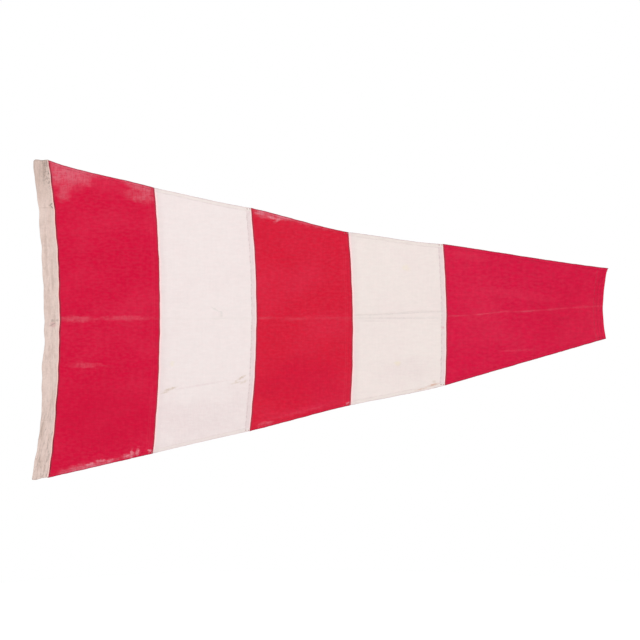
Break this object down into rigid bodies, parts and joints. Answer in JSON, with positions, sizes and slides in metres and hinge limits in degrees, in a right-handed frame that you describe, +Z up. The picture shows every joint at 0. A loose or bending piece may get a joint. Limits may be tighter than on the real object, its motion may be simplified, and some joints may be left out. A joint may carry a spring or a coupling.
{
  "type": "tapered signal pennant",
  "caption": "Tapered cloth pennant with red and white vertical stripes, turned hems and a canvas sleeve along the hoist for a rope or staff.",
  "frame": {"origin": "centre of the canvas sleeve, at the middle of the hoist's height", "axes": "+X from the hoist to the fly, +Y through the cloth from its front face to its back, +Z up along the sleeve"},
  "size_m": [1.3723, 0.012, 0.765],
  "materials": {
    "red_bunting": "matt plain weave, faded and rubbed along the hems",
    "white_bunting": "matt plain weave, yellowed with small stains",
    "canvas_heading": "matt heavy plain weave, creased and soiled",
    "cream_thread": "matt twisted cotton",
    "red_thread": "matt twisted cotton"
  },
  "bodies": {
    "root": {"heading_front_leaf": "canvas_heading", "heading_back_leaf": "canvas_heading", "panel_1_red": "red_bunting", "panel_2_white": "white_bunting", "panel_3_red": "red_bunting", "panel_4_white": "white_bunting", "panel_5_red": "red_bunting", "heading_edge_stitch": "cream_thread", "heading_inner_stitch": "cream_thread", "seam_1_edge_stitch": "red_thread", "seam_1_fell_stitch": "red_thread", "seam_2_edge_stitch": "cream_thread", "seam_2_fell_stitch": "cream_thread", "seam_3_edge_stitch": "red_thread", "seam_3_fell_stitch": "red_thread", "seam_4_edge_stitch": "cream_thread", "seam_4_fell_stitch": "cream_thread", "top_hem_stitch_red": "red_thread", "top_hem_stitch_white": "cream_thread", "bottom_hem_stitch_red": "red_thread", "bottom_hem_stitch_white": "cream_thread", "fly_stitch_1": "red_thread", "fly_stitch_2": "red_thread", "fly_stitch_3": "red_thread", "seam_end_tacks": "cream_thread"}
  },
  "joints": []
}
